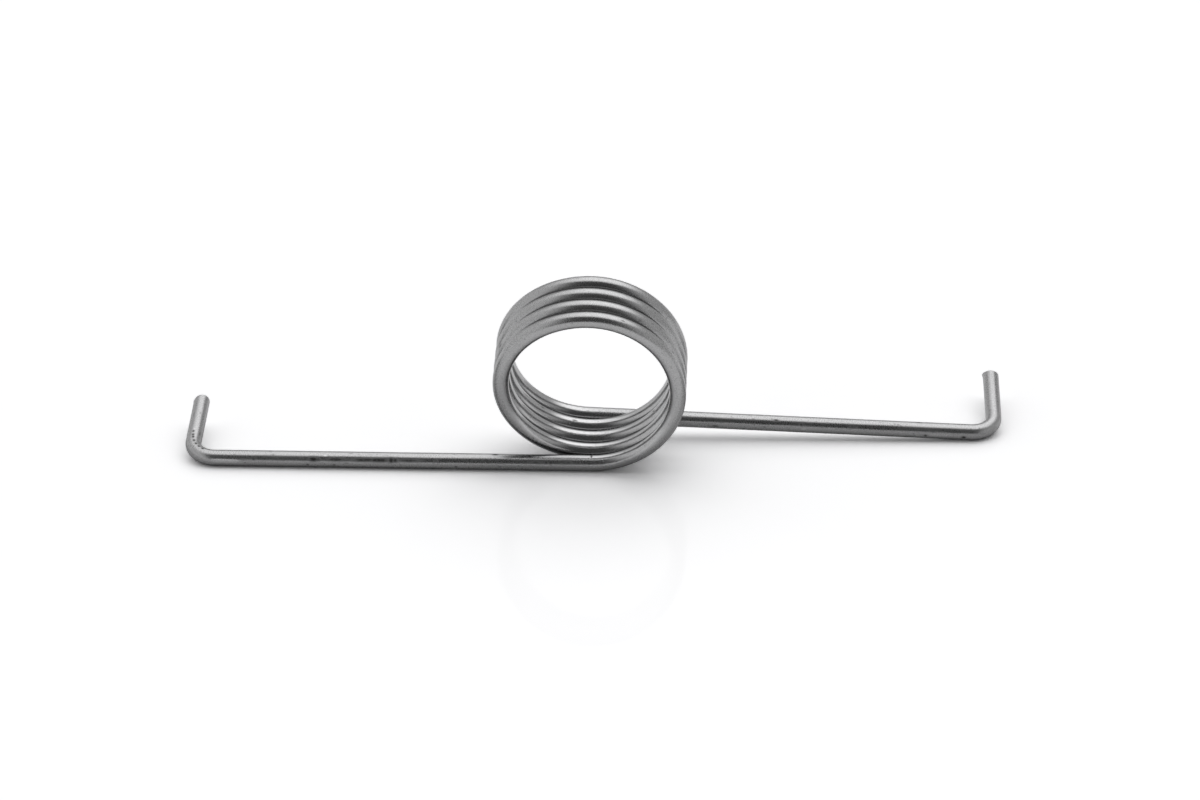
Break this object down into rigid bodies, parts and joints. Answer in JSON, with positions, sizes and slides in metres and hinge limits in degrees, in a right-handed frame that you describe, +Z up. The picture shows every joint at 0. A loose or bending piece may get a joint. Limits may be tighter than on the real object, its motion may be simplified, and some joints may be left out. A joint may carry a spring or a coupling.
{
  "type": "torsion spring",
  "caption": "Helical torsion spring of round steel wire: close turns, two straight legs pointing opposite ways, and a short hook bent square at the end of each leg.",
  "frame": {"origin": "middle of the coil, on the coil's axis", "axes": "+X from the front leg's side to the rear leg's side, along the front leg; +Y from the front of the coil to its rear; +Z up, square to level ground under the spring as it lies on its front leg and the far end of its rear leg. The coil's axis lies in the Y-Z plane and rises 12.4 degrees towards the rear."},
  "size_m": [0.1527, 0.0386, 0.0372],
  "materials": {
    "spring_steel": "satin, drawn wire with fine lengthwise marks and small pits"
  },
  "bodies": {
    "rear_arm": {"rear_leg": "spring_steel", "rear_bend": "spring_steel", "rear_hook": "spring_steel"},
    "front_arm": {"front_leg": "spring_steel", "front_bend": "spring_steel", "front_hook": "spring_steel"},
    "turn_1": {"coil_turn_1": "spring_steel"},
    "turn_2": {"coil_turn_2": "spring_steel"},
    "turn_3": {"coil_turn_3": "spring_steel"},
    "turn_4": {"coil_turn_4": "spring_steel"}
  },
  "joints": [
    {"name": "leg_swing", "type": "hinge", "parent": "rear_arm", "child": "front_arm", "pos_m": [0, 0, 0], "axis": [0, 0.9765, 0.2154], "range_deg": [0, 90], "stiffness_Nm_per_rad": 1.7, "deforming": ["coil_turn_1", "coil_turn_2", "coil_turn_3", "coil_turn_4"]},
    {"name": "turn_1_wind", "type": "hinge", "parent": "rear_arm", "child": "turn_1", "pos_m": [0, 0, 0], "axis": [0, 0.9765, 0.2154], "range_deg": [0, 78.75]},
    {"name": "turn_2_wind", "type": "hinge", "parent": "rear_arm", "child": "turn_2", "pos_m": [0, 0, 0], "axis": [0, 0.9765, 0.2154], "range_deg": [0, 56.25]},
    {"name": "turn_3_wind", "type": "hinge", "parent": "rear_arm", "child": "turn_3", "pos_m": [0, 0, 0], "axis": [0, 0.9765, 0.2154], "range_deg": [0, 33.75]},
    {"name": "turn_4_wind", "type": "hinge", "parent": "rear_arm", "child": "turn_4", "pos_m": [0, 0, 0], "axis": [0, 0.9765, 0.2154], "range_deg": [0, 11.25]}
  ],
  "couplings": [
    {"joint": "turn_1_wind", "follows": "leg_swing", "ratio": 0.875},
    {"joint": "turn_2_wind", "follows": "leg_swing", "ratio": 0.625},
    {"joint": "turn_3_wind", "follows": "leg_swing", "ratio": 0.375},
    {"joint": "turn_4_wind", "follows": "leg_swing", "ratio": 0.125}
  ]
}
